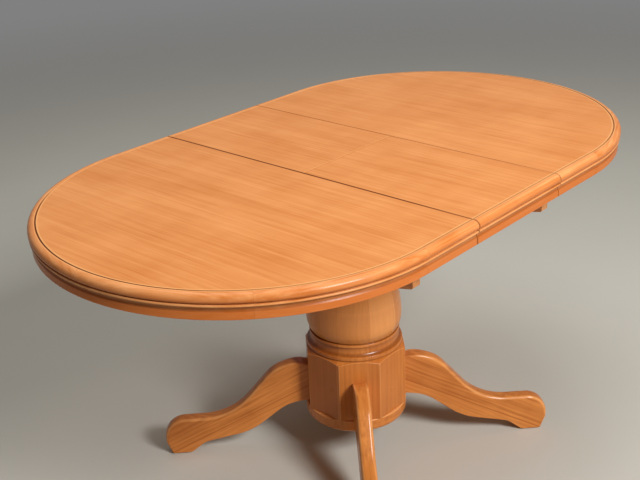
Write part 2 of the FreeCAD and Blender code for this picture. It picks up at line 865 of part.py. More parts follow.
def pedestal_pieces():
    """Pieces of the pedestal and its underframe."""
    disc_foot = octagon_foot - disc_height
    pieces = {
        "pedestal_column": pedestal_column(),
        "base_disc": base_disc(),
        "base_disc_screws": Part.makeCompound([
            upward_screw(disc_screw_length, Vector(x, y, disc_foot)) for x, y in disc_screw_places()
        ]),
        "leg_studs": leg_studs(),
        "leg_washers": leg_washers(),
        "leg_nuts": leg_nuts(),
        "foot_glides": foot_glides(),
        "head_plate": head_plate(),
        "head_plate_screws": Part.makeCompound([
            downward_screw(plate_screw_length, Vector(x, y, plate_top)) for x, y in plate_screw_places()
        ]),
        "bearer_screws": Part.makeCompound([
            upward_screw(bearer_screw_length, Vector(x, y, column_top)) for x, y in bearer_screw_places()
        ]),
        "cross_bearer_far": cross_bearer(),
        "guide_rail_left": guide_rail(),
        "stop_pins": stop_pins(),
    }
    pieces["cross_bearer_near"] = mirrored_x(pieces["cross_bearer_far"])
    pieces["guide_rail_right"] = mirrored_y(pieces["guide_rail_left"])
    far_left_bolt = rail_bolt()
    far_bolts = [far_left_bolt, mirrored_y(far_left_bolt)]
    pieces["rail_bolts"] = Part.makeCompound(far_bolts + [mirrored_x(bolt) for bolt in far_bolts])
    places = ("far_left", "near_left", "near_right", "far_right")
    for place, shape in zip(places, around_legs(leg())):
        pieces["leg_" + place] = shape
    return pieces


def main():
    os.makedirs("parts", exist_ok=True)
    nodes = pedestal_pieces()
    for name, shape in top_half_pieces().items():
        nodes["far_" + name] = shape
        nodes["near_" + name] = mirrored_x(shape)
    for name, shape in leaf_pieces().items():
        nodes["leaf_fixed_" + name] = shape
        nodes["leaf_folding_" + name] = half_turned(shape)
    for name, shape in nodes.items():
        shape.exportStep("parts/%s.step" % name)
        print(name, len(shape.Solids), round(sum(solid.Volume for solid in shape.Solids)), shape.isValid())
    print("nodes", len(nodes))


main()
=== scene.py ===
"""Extending pedestal table with a folding leaf: its finishes, mouldings, fastenings, floor and light."""

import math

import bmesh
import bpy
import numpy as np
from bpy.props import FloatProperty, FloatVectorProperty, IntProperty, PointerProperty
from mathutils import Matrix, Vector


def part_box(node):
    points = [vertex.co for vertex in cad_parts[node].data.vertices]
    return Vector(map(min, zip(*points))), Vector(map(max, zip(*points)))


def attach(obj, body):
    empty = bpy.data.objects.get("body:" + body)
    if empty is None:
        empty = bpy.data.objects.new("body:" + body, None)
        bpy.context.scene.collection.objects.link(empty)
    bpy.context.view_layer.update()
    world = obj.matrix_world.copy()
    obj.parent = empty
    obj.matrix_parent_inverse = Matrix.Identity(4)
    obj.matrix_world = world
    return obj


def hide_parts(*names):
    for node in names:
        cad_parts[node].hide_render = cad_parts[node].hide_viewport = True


bl_info = {
    "name": "Extending pedestal table",
    "version": (1, 0, 0),
    "blender": (4, 5, 0),
    "location": "3D View > Sidebar > Table",
    "description": "Dresses the table's frame in lacquered wood and metal and sets up a studio round it",
    "category": "Object",
}

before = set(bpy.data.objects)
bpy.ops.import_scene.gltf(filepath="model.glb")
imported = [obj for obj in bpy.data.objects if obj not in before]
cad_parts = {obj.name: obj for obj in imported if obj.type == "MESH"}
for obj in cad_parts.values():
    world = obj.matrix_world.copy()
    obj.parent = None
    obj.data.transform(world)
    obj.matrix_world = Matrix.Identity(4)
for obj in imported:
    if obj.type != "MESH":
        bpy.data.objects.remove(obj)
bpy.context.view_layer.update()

MM = 0.001
TOP_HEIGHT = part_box("leaf_fixed_panel")[1].z
HALF_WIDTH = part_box("leaf_fixed_lipping")[1].y
PANEL_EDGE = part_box("leaf_fixed_panel")[1].y
LEAF_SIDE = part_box("leaf_fixed_panel")[1].x
HALF_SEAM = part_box("far_lipping_left")[0].x
SEAM_MIDDLE = (LEAF_SIDE + HALF_SEAM) / 2
BEND_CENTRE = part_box("far_lipping_left")[1].x
COLUMN_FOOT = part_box("pedestal_column")[0].z
COLUMN_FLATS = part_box("pedestal_column")[1].x
BULB_FOOT = COLUMN_FOOT + 201 * MM
HALVES = {"near": -1, "far": 1}

# Sweep in degrees of each bent length of lipping, and points along it.
BEND_SWEEP = 45
BEND_POINTS = 49

# Legs: their directions and the fall of their grain in degrees, the height of the joint between the two
# boards of each in the grain's own space, and half their thickness.
LEG_ANGLES = {"far_left": 45, "near_left": 135, "near_right": 225, "far_right": 315}
LEG_FALL = 26
LEG_JOINT = 207 * MM
LEG_SIDE = 17.5 * MM

# The column is glued up from staves. The turn, in degrees, sets where the first one starts. Each has its
# own tone in the foot and in the bulb, from 0, pale, to 1, dark.
STAVE_TURN = 19
STAVE_WIDTH = 82 * MM
STAVE_TONES = [
    (0.0, 0.5), (0.45, 0.0), (0.3, 0.55), (0.6, 0.3), (0.2, 0.6), (0.7, 0.15), (0.35, 0.5), (0.55, 0.35),
    (1.0, 0.5),
]

# Section of the lipping in millimetres: inset from the outer face, depth under the top, rounding.
GROOVE_INSET = 15.9
NOSING_FOOT = 18.6
BEAD_HEAD = 19.8
BEAD_FOOT = 24.4
COVE_FOOT = 36.4
LIPPING_SECTION = [
    (17, 1.6, 0), (GROOVE_INSET, 0, 0), (0, 0, 12.5), (0, NOSING_FOOT, 6), (5, NOSING_FOOT, 0),
    (5, BEAD_HEAD, 0), (0.8, BEAD_HEAD, 2), (0.8, BEAD_FOOT, 2), (3.5, BEAD_FOOT, 0), (8.5, 30.4, 5),
    (5, COVE_FOOT, 0), (4, 50, 1.5), (40, 50, 0), (40, 22, 0), (17, 22, 0),
]

# Outline of the column's turning in millimetres, from its bore: radius, height above its foot, rounding.
COLUMN_OUTLINE = [
    (60, 0, 0), (131, 0, 1.2), (131, 147.7, 0), (113, 159.7, 0), (115.5, 161.2, 0.9), (115.5, 168.8, 1.8),
    (105.8, 172.4, 11.3), (105, 191.5, 0), (108.5, 191.5, 1.2), (108.5, 198, 1.2), (103.5, 198, 0),
    (103.5, 201, 0), (106, 201, 1), (114.5, 217.7, 70), (114.5, 255, 186), (109, 294.2, 186),
    (88, 369.9, 80), (84, 396.6, 40), (96, 409.7, 5.6), (96, 423.7, 0.5), (60, 423.7, 0),
]
COLUMN_SIDES = 8
SHOULDER_CORNER = 2

# Outline of the disc under the column in the same terms, closed through the column's axis.
DISC_OUTLINE = [(-60, -33, 0), (123.5, -33, 13), (123.5, 0, 2), (-60, 0, 0)]

# Side outline of a leg in millimetres: distance from the column's axis, height above the floor, rounding.
LEG_OUTLINE = [
    (117, 230.8, 0), (178, 251.8, 95), (312, 97, 150), (479, 97, 51.7), (479, 36.8, 30.1), (464, 3, 8),
    (415.6, 3, 24), (379.4, 29, 44), (264, 52, 152), (160.5, 132.5, 125.9), (117, 132.5, 0),
]

# Least rounding of the corners of turned and moulded pieces, in millimetres, and steps round a corner.
EASE = 0.3
CORNER_STEPS = 8

# Noises in the wood: cells a metre along the grain and twice across it, detail, and weight in the tone.
GRAIN = {
    "drift": ((3.5, 13, 13), 2.0, 1.1),
    "streak": ((4, 170, 170), 4.0, 1.4),
    "ripple": ((14, 5, 5), 2.0, 0.6),
    "fibre": ((24, 800, 800), 2.0, 0.5),
}
PORE_CELLS = (60, 1300, 1300)
RING_WANDER_CELLS = (2.6, 9, 9)
RINGS_A_METRE = 95

# First seed of the grain in each group of pieces, and how far a seed shifts the grain.
SEEDS = {"panels": 1, "lipping": 10, "legs": 40, "column": 50, "disc": 51, "lengthways": 60, "bearers": 80}
SEED_SHIFT = (3.7, 1.9, 5.3)

# Depth of the bumps in wood and in metal.
GRAIN_DEPTH = 0.12 * MM
SCRATCH_DEPTH = 0.03 * MM

# Shares of dark colour in the lipping's hollows, joints and seams: stain in the joints, painted shade low
# on the nosing and in the quirk and cove, and partly stain, partly painted shade in the groove and seams.
MOULDING_STAIN_AND_SHADE = {"low": 0.32, "quirk": 0.15, "groove": 1.0, "cove": 0.48, "joint": 0.3, "seam": 0.7}

# Edges that fold by more than this many degrees stay crisp. Points nearer than this, in metres, are one.
CRISP_FOLD = 35
SAME_POINT = 1e-7

# Camera at the photograph's viewing angle: its place in metres, right and up, and its sensor's width.
CAMERA_PLACE = (-1.7294, -1.4705, 1.5587)
CAMERA_RIGHT = (0.6585, -0.7516, -0.0394)
CAMERA_UP = (0.3293, 0.2406, 0.9130)
SENSOR_WIDTH = 36.0

# Soft lights in metres: size, place and the point that each faces.
KEY_LIGHT = (1.4, (-0.42, -4.03, 3.44), (0, 0, 0.5))
TOP_LIGHT = (2.6, (0.2, 0.3, 3.6), (0, 0, 0.7))

# How far the floor reaches, and where it starts to fade and has faded, in metres from the table's middle.
FLOOR_REACH = 30.0
HAZE_START = 2.2
HAZE_FULL = 6.0


def linear(red, green, blue):
    """Linear colour from the three numbers, 0 to 255, that a picture shows."""
    shown = np.array((red, green, blue)) / 255
    return tuple(np.where(shown <= 0.04045, shown / 12.92, ((shown + 0.055) / 1.055) ** 2.4))


def colour_property(name, description, shown):
    """Colour setting with its default given as a picture shows it."""
    return FloatVectorProperty(
        name=name, description=description, default=linear(*shown), size=3, min=0, max=1, subtype="COLOR")


def length_property(name, description, millimetres):
    """Length setting in metres with its default given in millimetres."""
    return FloatProperty(
        name=name, description=description, default=millimetres * MM, min=0, subtype="DISTANCE",
        unit="LENGTH")


def factor_property(name, description, default):
    """Setting from 0 to 1."""
    return FloatProperty(
        name=name, description=description, default=default, min=0, max=1, subtype="FACTOR")


class TopFinish(bpy.types.PropertyGroup):
    """Colours and lacquer of the top and its lipping."""

    veneer_light: colour_property("Veneer light", "Pale wood between the top's streaks", (237, 160, 96))
    veneer_dark: colour_property("Veneer dark", "Darkest streaks of the top", (205, 122, 57))
    lipping_light: colour_property("Lipping light", "Pale wood of the moulded edge", (239, 167, 107))
    lipping_dark: colour_property("Lipping dark", "Dark wood of the moulded edge", (200, 110, 42))
    fascia: colour_property("Fascia", "Redder wood low on the moulded edge", (196, 103, 37))
    # Pale colour for painted highlights by the groove and the fold, and for the bead, which is partly pale
    # from rubbing.
    rubbed_and_highlight: colour_property("Rubbed bead", "Wood where the stain is rubbed off the bead", (246, 182, 116))
    # Dark colour for stain in the joints and partly in the grooves and seams, and for painted shade in the
    # hollows, grooves and seams.
    glaze_and_shade: colour_property("Groove glaze", "Dark stain that lies in the grooves and seams", (100, 42, 7))
    roughness: factor_property("Lacquer roughness", "Roughness of the satin lacquer", 0.34)
    coat: factor_property("Lacquer coat", "Weight of the clear coat over the wood", 0.22)


class PedestalFinish(bpy.types.PropertyGroup):
    """Colours and lacquer of the column, its disc, the legs and the underframe."""

    wood_light: colour_property("Wood light", "Pale wood of the pedestal", (228, 146, 72))
    wood_dark: colour_property("Wood dark", "Dark wood of the pedestal", (166, 88, 30))
    bare_light: colour_property("Underframe light", "Pale wood of the rails and bearers", (222, 150, 86))
    bare_dark: colour_property("Underframe dark", "Dark wood of the rails and bearers", (170, 100, 48))
    # Dark colour for painted shade in the column's turned grooves.
    glaze_and_shade: colour_property("Groove glaze", "Dark stain that lies in the turned grooves", (92, 38, 7))
    chip: colour_property("Chip", "Bare filler where the disc's lower edge is chipped", (226, 214, 196))
    # Pale colour for the arrises, leg edges and disc rim: partly rubbing, partly painted highlight.
    rubbed_and_highlight: colour_property("Rubbed wood", "Wood where the stain is rubbed off", (238, 172, 108))
    roughness: factor_property("Lacquer roughness", "Roughness of the pedestal's lacquer", 0.30)
    coat: factor_property("Lacquer coat", "Weight of the clear coat over the pedestal", 0.45)
    arris: length_property("Arris rounding", "How far the column's arrises are eased", 1.0)
    leg_edge: length_property("Leg edge", "Rounding of the long edges of a leg", 9.0)
    leg_stop: length_property("Edge stop", "How far from the column that rounding starts", 14.0)
    # Share of that pale colour, from rubbing and painted highlight.
    wear_and_highlight: factor_property("Arris wear", "How far the stain is rubbed off the arrises", 0.7)


class FittingFinish(bpy.types.PropertyGroup):
    """Colours of the metal and plastic fittings and sizes of their small details."""

    zinc: colour_property("Zinc", "Bright zinc plate of the screws and bolts", (196, 199, 203))
    brass: colour_property("Brass", "Brass of the hinges", (214, 172, 92))
    plastic: colour_property("Glide plastic", "Plastic of the glides under the toes", (58, 44, 34))
    screw_head: length_property("Screw head", "Radius of a screw's head", 4.5)
    shank: length_property("Screw shank", "Radius of a screw under its head", 2.2)
    tip: length_property("Screw tip", "Length of a screw's point", 4.0)
    bolt_head: length_property("Bolt head", "Radius of a bolt's head", 8.0)
    bolt_rise: length_property("Bolt head height", "Height of a bolt's head", 5.0)
    bolt_shank: length_property("Bolt shank", "Radius of a bolt under its head", 4.0)
    recess_width: length_property("Recess width", "Width of one arm of a screw's cross recess", 1.3)
    recess_reach: length_property("Recess reach", "Length of one arm of a screw's cross recess", 2.9)
    recess_depth: length_property("Recess depth", "Depth of a screw's cross recess", 1.8)
    socket_flats: length_property("Socket flats", "Width across the flats of a bolt's hexagon socket", 6.0)
    socket_depth: length_property("Socket depth", "Depth of a bolt's hexagon socket", 3.0)
    turns: IntProperty(
        name="Turned sides", description="Points round each turned fitting", default=48, min=12, max=96)


class StudioSettings(bpy.types.PropertyGroup):
    """Floor, light and camera."""

    floor: colour_property("Floor", "Plain pale floor", (194, 191, 181))
    backdrop: colour_property("Backdrop", "Even light from all round", (92, 89, 83))
    horizon: colour_property("Horizon", "Plain tone that the far floor fades into", (128, 128, 128))
    key_power: FloatProperty(
        name="Key light", description="Power of the light on the right", default=250, unit="POWER")
    top_power: FloatProperty(
        name="Top light", description="Power of the light overhead", default=56, unit="POWER")
    lens: FloatProperty(
        name="Lens", description="Focal length of the camera in millimetres", default=60.0, min=1)


def opaque(colour):
    """Four numbers of a colour setting."""
    return (*colour, 1.0)


class Socket:
    """A socket of a material's nodes. Arithmetic on it adds Math nodes, and node() adds any other node."""

    def __init__(self, tree, socket=None):
        self.tree = tree
        self.socket = socket

    def node(self, kind, settings, inputs, output=0):
        """Add a node, set its settings and then its inputs' values or links, and wrap one output."""
        made = self.tree.nodes.new(kind)
        for name, setting in settings.items():
            setattr(made, name, setting)
        for name, given in inputs.items():
            if isinstance(given, Socket):
                self.tree.links.new(given.socket, made.inputs[name])
            else:
                made.inputs[name].default_value = given
        return Socket(self.tree, made.outputs[output]) if len(made.outputs) else None

    def math(self, operation, *terms):
        """Math node on values."""
        return self.node("ShaderNodeMath", {"operation": operation}, dict(enumerate(terms)))

    def __add__(self, other):
        return self.math("ADD", self, other)

    def __sub__(self, other):
        return self.math("SUBTRACT", self, other)

    def __rsub__(self, other):
        return self.math("SUBTRACT", other, self)

    def __mul__(self, other):
        return self.math("MULTIPLY", self, other)

    def __abs__(self):
        return self.math("ABSOLUTE", self)

    __radd__ = __add__
    __rmul__ = __mul__

    def axis(self, name):
        """One axis of a vector."""
        return self.node("ShaderNodeSeparateXYZ", {}, {"Vector": self}, name)

    def placed(self, turn=(0, 0, 0), shift=(0, 0, 0), stretch=(1, 1, 1)):
        """Vector stretched, turned and moved by a Mapping node."""
        inputs = {"Vector": self, "Location": shift, "Rotation": turn, "Scale": stretch}
        return self.node("ShaderNodeMapping", {}, inputs)

    def noise(self, stretch, shift=(0, 0, 0), detail=2.0):
        """Noise about 0, from -0.5 to 0.5, with that many cells a metre along each axis."""
        place = self.placed(shift=shift, stretch=stretch)
        return self.node("ShaderNodeTexNoise", {}, {"Vector": place, "Scale": 1.0, "Detail": detail}) - 0.5

    def step(self, low, high, start=0.0, end=1.0):
        """Smooth step from start to end as the value goes from low to high."""
        inputs = {"Value": self, "From Min": low, "From Max": high, "To Min": start, "To Max": end}
        return self.node("ShaderNodeMapRange", {"interpolation_type": "SMOOTHSTEP"}, inputs)

    def band(self, start, full, fall, end):
        """1 from full to fall, and smoothly 0 before start and after end, all four in millimetres."""
        return self.step(start * MM, full * MM) * self.step(end * MM, fall * MM)

    def length(self):
        """Length of a vector."""
        return self.node("ShaderNodeVectorMath", {"operation": "LENGTH"}, {0: self}, "Value")

    def blend(self, first, second):
        """Colour between two sockets or colour settings, with this value as the share of the second."""
        first, second = [part if isinstance(part, Socket) else opaque(part) for part in (first, second)]
        settings = {"data_type": "RGBA", "clamp_factor": True}
        return self.node("ShaderNodeMix", settings, {0: self, 6: first, 7: second}, 2)


def empty_nodes(owner):
    """Wrapped start for the nodes of a material or world, which are cleared first."""
    owner.use_nodes = True
    owner.node_tree.nodes.clear()
    return Socket(owner.node_tree)


def new_material(name):
    """Empty material, with a wrapped start for its nodes."""
    material = bpy.data.materials.new(name)
    return material, empty_nodes(material)


def object_space(start):
    """Places on the piece in metres, in the table's own frame."""
    return start.node("ShaderNodeTexCoord", {}, {}, "Object")


def close_material(start, varying, constants, height=None, depth=0.0):
    """Principled shader with its varying and constant inputs, and a bump of the given depth in metres."""
    inputs = {**constants, **varying}
    if height is not None:
        bump = {"Height": height, "Strength": 1.0, "Distance": depth}
        inputs["Normal"] = start.node("ShaderNodeBump", {}, bump)
    shader = start.node("ShaderNodeBsdfPrincipled", {}, inputs)
    start.node("ShaderNodeOutputMaterial", {}, {"Surface": shader})


def wood_grain(space, seed, figure, rings):
    """Tone of the wood about 0, its fibre and its pores, for a space in metres with its x along the grain.

    Broad drift, long streaks, cross ripple and fine fibre are noises stretched along the grain. Growth
    rings are the sine of the distance from a pith beside the piece, which wanders, so that they show as
    lines and arches. Pores are the peaks of a short, thin noise.
    """
    shift = tuple(seed * part for part in SEED_SHIFT)
    noises = {name: space.noise(cells, shift, detail) for name, (cells, detail, _) in GRAIN.items()}
    tone = sum(noises[name] * weight for name, (_, _, weight) in GRAIN.items()) * figure
    pore = space.noise(PORE_CELLS, shift, 0.0).step(0.20, 0.34)
    if rings:
        pith = (0, 0.09 + 0.03 * math.sin(seed), 0.05 * math.cos(seed))
        out = space.placed(shift=pith).placed(stretch=(0, 1, 1)).length()
        wander = space.noise(RING_WANDER_CELLS, shift, 2.0)
        turns = (out + wander * 0.05) * (2 * math.pi * RINGS_A_METRE)
        tone = tone + turns.math("SINE", turns) * rings
    return tone, noises["fibre"], pore


def lacquered_wood(name, finish, wood, space_of, seed, figure=1.0, rings=0.0, shade=None):
    """Stained wood under satin lacquer, between the light and the dark colour that the finish has for it.

    The grain runs in the space that space_of gives, and shade may change the colour.
    """
    material, start = new_material(name)
    place = object_space(start)
    space = space_of(start, place)
    light = getattr(finish, wood + "_light")
    dark = getattr(finish, wood + "_dark")
    tone, fibre, pore = wood_grain(space, seed, figure, rings)
    colour = (tone + 0.5).blend(dark, light)
    colour = (pore * 0.15).blend(colour, dark)
    if shade is not None:
        colour = shade(start, place, space, colour)
    cloud = place.noise((24, 24, 24), (seed, 0, 0), 3.0)
    varying = {"Base Color": colour, "Roughness": finish.roughness + cloud * 0.16 + pore * 0.06}
    constants = {"Coat Weight": finish.coat, "Coat Roughness": 0.22, "Specular IOR Level": 0.1}
    close_material(start, varying, constants, fibre * 0.6 - pore * 0.5 + cloud * 0.5, GRAIN_DEPTH)
    return material


def plated_metal(name, colour, metallic, roughness):
    """Plated or moulded surface with soft clouding and fine scratches."""
    material, start = new_material(name)
    place = object_space(start)
    cloud = place.noise((180, 180, 180), (0, 0, 0), 3.0)
    scratch = place.noise((2600, 2600, 300), (0, 0, 0), 1.0)
    shaded = tuple(0.6 * part for part in colour)
    tint = (cloud + 0.6).blend(shaded, colour)
    varying = {"Base Color": tint, "Roughness": roughness + cloud * 0.3 + scratch * 0.2}
    close_material(start, varying, {"Metallic": metallic}, scratch + cloud, SCRATCH_DEPTH)
    return material


def turned_grain(angle, fall=0.0):
    """Space of a piece whose grain runs out at an angle about the upright axis, and falls as it goes."""
    def space_of(start, place):
        level = place.placed(turn=(0, 0, -math.radians(angle)))
        return level.placed(turn=(0, -math.radians(fall), 0))
    return space_of


def stave_place(place):
    """Number of the column's stave at a point, and how far across it the point lies, from 0 to 1."""
    turned = place.placed(turn=(0, 0, -math.radians(STAVE_TURN)))
    angle = place.math("ARCTAN2", turned.axis("Y"), turned.axis("X"))
    staves = len(STAVE_TONES)
    stave = angle * (staves / (2 * math.pi)) + staves / 2
    number = stave.math("FLOOR", stave)
    return number, stave - number


def stave_grain(start, place):
    """Space of the staves: up the column, across the stave and out from the axis, set apart for each."""
    number, across = stave_place(place)
    out = place.placed(stretch=(1, 1, 0)).length()
    inputs = {"X": place.axis("Z") + number * 0.7, "Y": across * STAVE_WIDTH, "Z": out}
    return start.node("ShaderNodeCombineXYZ", {}, inputs)


def own_attribute(start, name, output="Fac"):
    """Value, or another output, of an attribute that the piece carries at its points."""
    return start.node("ShaderNodeAttribute", {"attribute_name": name}, {}, output)


def dress(nodes, material):
    """Put one material on every slot of some CAD nodes."""
    for name in nodes:
        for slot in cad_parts[name].material_slots:
            slot.material = material


def add_object(name, content):
    """New object in the scene, at the origin."""
    made = bpy.data.objects.new(name, content)
    bpy.context.scene.collection.objects.link(made)
    return made


def unit(vectors):
    """Each row divided by its length."""
    return vectors / np.linalg.norm(vectors, axis=-1, keepdims=True)


def rounded_outline(corners, ease, steps):
    """Closed outline of corners (u, v, radius), each drawn as an arc of at least the easing radius.

    An arc touches both sides at radius / tan(half the corner's angle) from the corner. Its points turn
    evenly from one touching point to the other about a centre on the bisector. Two more points lie just
    inside the ends of each straight.
    """
    corners = np.asarray(corners, float)
    here = corners[:, :2]
    radius = np.maximum(corners[:, 2:], ease)
    back = unit(np.roll(here, 1, axis=0) - here)
    ahead = unit(np.roll(here, -1, axis=0) - here)
    half = np.arccos(np.sum(back * ahead, axis=1, keepdims=True)) / 2
    centre = here + unit(back + ahead) * radius / np.sin(half)
    first = here + back * radius / np.tan(half) - centre
    last = here + ahead * radius / np.tan(half) - centre
    turn = np.linspace(0, 1, steps + 1)
    sweep = np.pi - 2 * half
    from_first = np.sin((1 - turn) * sweep)[..., None] * first[:, None]
    from_last = np.sin(turn * sweep)[..., None] * last[:, None]
    arcs = centre[:, None] + (from_first + from_last) / np.sin(sweep)[..., None]
    straight = np.roll(arcs[:, :1], -1, axis=0) - arcs[:, -1:]
    length = np.linalg.norm(straight, axis=2, keepdims=True)
    near = np.minimum(0.25, 2 * ease / np.maximum(length, ease))
    inner = [arcs[:, -1:] + straight * near, arcs[:, -1:] + straight * (1 - near)]
    return np.concatenate([arcs, *inner], axis=1).reshape(-1, 2)


def grid_faces(rows, columns, close_rows):
    """Corner numbers of a grid's cells. It closes along its columns, and along its rows where asked."""
    row = np.arange(rows if close_rows else rows - 1)[:, None]
    column = np.arange(columns)[None, :]
    beside = (column + 1) % columns
    first = row * columns
    second = (row + 1) % rows * columns
    corners = (first + column, first + beside, second + beside, second + column)
    return np.stack(np.broadcast_arrays(*corners), axis=-1).reshape(-1, 4)


def make_piece(name, points, material, body, nodes, close_rows=False, caps=False, carried=None):
    """Piece from a grid of points in metres, closed along its columns, that replaces CAD nodes on a body.

    Points has the shape (copies, rows, columns, 3). Rows close too, or get flat caps, where asked. Carried
    names arrays of values or vectors at the points, for the material. Poles are merged, and faces are
    turned outwards.
    """
    copies, rows, columns, _ = points.shape
    cells = grid_faces(rows, columns, close_rows)
    starts = np.arange(copies)[:, None, None] * rows * columns
    faces = (cells + starts).reshape(-1, 4).tolist()
    sides = len(faces)
    if caps:
        ends = np.arange(columns)
        for start in starts.ravel():
            faces.append((start + ends[::-1]).tolist())
            faces.append((start + (rows - 1) * columns + ends).tolist())
    mesh = bpy.data.meshes.new(name)
    mesh.from_pydata(points.reshape(-1, 3), [], faces)
    for key, given in (carried or {}).items():
        if given.size == points.size:
            mesh.attributes.new(key, "FLOAT_VECTOR", "POINT").data.foreach_set("vector", given.ravel())
        else:
            mesh.attributes.new(key, "FLOAT", "POINT").data.foreach_set("value", given.ravel())
    mesh.polygons.foreach_set("use_smooth", np.arange(len(faces)) < sides)
    shell = bmesh.new()
    shell.from_mesh(mesh)
    bmesh.ops.remove_doubles(shell, verts=shell.verts, dist=SAME_POINT)
    bmesh.ops.recalc_face_normals(shell, faces=shell.faces)
    shell.to_mesh(mesh)
    shell.free()
    mesh.set_sharp_from_angle(angle=math.radians(CRISP_FOLD))
    mesh.materials.append(material)
    piece = add_object(name, mesh)
    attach(piece, body)
    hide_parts(*nodes)


def full_turn(count):
    """That many angles, evenly spaced round a circle."""
    return np.linspace(0, 2 * np.pi, count, endpoint=False)


def turned_points(radius, angle, height):
    """Grid of points about the upright axis: x is radius * cosine and y is radius * sine of the angle."""
    return np.stack([radius * np.cos(angle), radius * np.sin(angle), height + 0 * angle], axis=-1)


def smooth_min(first, second, reach):
    """Lesser of two arrays, eased by a parabola where they differ by less than the reach."""
    near = np.maximum(reach - np.abs(first - second), 0) / reach
    return np.minimum(first, second) - near ** 2 * reach / 4


def smooth_step(values, low, high):
    """0 below the low value, 1 above the high one, and a cubic between them."""
    share = np.clip((values - low) / (high - low), 0, 1)
    return share ** 2 * (3 - 2 * share)


def seam_stain_and_shade(place):
    """Share of dark stain and painted shade along the leaf's seams: tighter and paler at the far one, less
    on the lit right.
    """
    x = place.axis("X")
    off = abs(abs(x) - SEAM_MIDDLE) + x.step(-LEAF_SIDE, LEAF_SIDE, 0.0, 0.8 * MM)
    # The seams' painted shade is lighter near the lit right edge.
    unevenness = place.axis("Y").step(-0.44, -0.28, 0.65, 1.0)
    return off.step(3.4 * MM, 2.2 * MM) * x.step(-LEAF_SIDE, LEAF_SIDE, 0.8, 0.45) * unevenness


def groove_shade_fade(place):
    """Share of dark stain and painted shade in the groove, thinner on the lit right and nearly gone on the
    left.
    """
    y = place.axis("Y")
    return y.step(0.40, 0.30, 0.1, 0.85) * y.step(-0.40, -0.15, 0.65, 1.0)


def edge_shade(start, place, space, colour):
    """Stain and painted shade in a veneered panel's groove and seams, a painted highlight by the groove,
    and the leaf's fold.

    The distance from the line between the two bend centres tells how near the groove a point is. The fold
    is a crease painted dark as shade, with a painted highlight beside it.
    """
    finish = bpy.context.scene.table_top
    along = abs(place.axis("X"))
    beyond = along - BEND_CENTRE
    past = beyond.math("MAXIMUM", beyond, 0.0)
    y = place.axis("Y")
    reach = past.math("SQRT", past * past + y * y)
    # The groove's dark is partly stain and partly painted shade.
    groove = reach.step(PANEL_EDGE - 1.9 * MM, PANEL_EDGE - 0.9 * MM) * groove_shade_fade(place)
    # Painted highlight: a pale band on the panel's edge by the groove.
    lip = reach.step(PANEL_EDGE - 5.2 * MM, PANEL_EDGE - 3.6 * MM)
    colour = (lip * 0.6).blend(colour, finish.rubbed_and_highlight)
    leaf = along.step(SEAM_MIDDLE, LEAF_SIDE)
    # Painted highlight beside the leaf's fold.
    pale = y.band(0.4, 1.4, 2.6, 4.4) * leaf
    colour = (pale * 0.4).blend(colour, finish.rubbed_and_highlight)
    # Painted shade in the fold's crease.
    crease = abs(y + 0.5 * MM).step(1.9 * MM, 0.9 * MM) * leaf
    colour = (crease * 0.5).blend(colour, finish.veneer_dark)
    return groove.math("MAXIMUM", groove, seam_stain_and_shade(place)).blend(colour, finish.glaze_and_shade)


def moulding_shade(start, place, space, colour):
    """Stain in the lipping's joints, painted shade in its hollows, painted highlight on the lip and bead,
    and redder wood low down.
    """
    finish = bpy.context.scene.table_top
    across = own_attribute(start, "grain", "Vector")
    inset = across.axis("Y")
    depth = across.axis("Z")
    nosing = depth.step(19.5 * MM, 18.5 * MM)
    groove = inset.step(14.8 * MM, GROOVE_INSET * MM) * depth.step(3 * MM, 2 * MM)
    # Under the nosing and in the quirk and cove the dark is painted shade; in the groove and seams it is
    # partly stain and partly painted shade; in the joints it is stain.
    stains_and_shade = {
        "low": depth.step(11 * MM, 18 * MM) * nosing,
        "quirk": depth.band(18, NOSING_FOOT, BEAD_HEAD, 20.4) * inset.step(2 * MM, 4 * MM),
        "groove": groove * groove_shade_fade(place),
        "cove": depth.band(24.2, 26, 34, 37),
        "joint": abs(across.axis("X")).step(0.9 * MM, 0.3 * MM),
        "seam": seam_stain_and_shade(place),
    }
    shares = [stain * MOULDING_STAIN_AND_SHADE[name] for name, stain in stains_and_shade.items()]
    most = shares[0]
    for share in shares[1:]:
        most = most.math("MAXIMUM", most, share)
    redder = depth.step(3 * MM, 14 * MM) * nosing * 0.55 + depth.step(28 * MM, 37 * MM) * 0.8
    colour = redder.blend(colour, finish.fascia)
    # Painted highlight on the lipping's inner arris by the groove.
    lip = inset.band(12.4, 13.6, 14.6, 15.4) * depth.step(2 * MM, 1 * MM)
    colour = (lip * 0.5).blend(colour, finish.rubbed_and_highlight)
    # Pale bead: partly rubbing, partly a painted highlight where it catches the light.
    bead = depth.band(BEAD_HEAD, 20.8, 23.2, BEAD_FOOT)
    colour = (bead * 0.3).blend(colour, finish.rubbed_and_highlight)
    return most.blend(colour, finish.glaze_and_shade)


